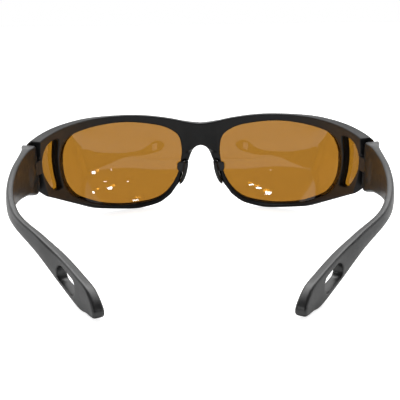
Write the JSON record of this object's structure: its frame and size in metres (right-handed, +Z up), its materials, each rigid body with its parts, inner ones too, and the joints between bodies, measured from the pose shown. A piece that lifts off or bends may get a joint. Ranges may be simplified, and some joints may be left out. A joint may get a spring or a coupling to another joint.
{
  "type": "wraparound sunglasses",
  "caption": "Wraparound sunglasses with tinted main lenses, tinted side windows, nose pads and wide folding temples that end in lanyard slots.",
  "frame": {"origin": "middle of the bounding box's bottom face, with the sunglasses lying open on their rims and temple tips", "axes": "+X towards the wearer's right, +Y out through the lenses, +Z up"},
  "size_m": [0.1498, 0.145, 0.0442],
  "materials": {
    "frame": "satin black moulded nylon",
    "lens": "clear amber tint, polished",
    "side_lens": "clear amber tint, polished",
    "pad": "soft matte black",
    "screw": "turned"
  },
  "bodies": {
    "front": {"front_frame": "frame", "left_lens": "lens", "right_lens": "lens", "left_side_lens": "side_lens", "right_side_lens": "side_lens", "left_nose_pad": "pad", "right_nose_pad": "pad"},
    "left_temple_body": {"left_temple": "frame", "left_hinge_screw": "screw"},
    "right_temple_body": {"right_temple": "frame", "right_hinge_screw": "screw"}
  },
  "joints": [
    {"name": "right_temple_hinge", "type": "hinge", "parent": "front", "child": "right_temple_body", "pos_m": [0.0701, 0.03257, 0.02578], "axis": [0, 0.2079, -0.9781], "range_deg": [0, 80]},
    {"name": "left_temple_hinge", "type": "hinge", "parent": "front", "child": "left_temple_body", "pos_m": [-0.0701, 0.03257, 0.02578], "axis": [0, -0.2079, 0.9781], "range_deg": [0, 60]}
  ]
}
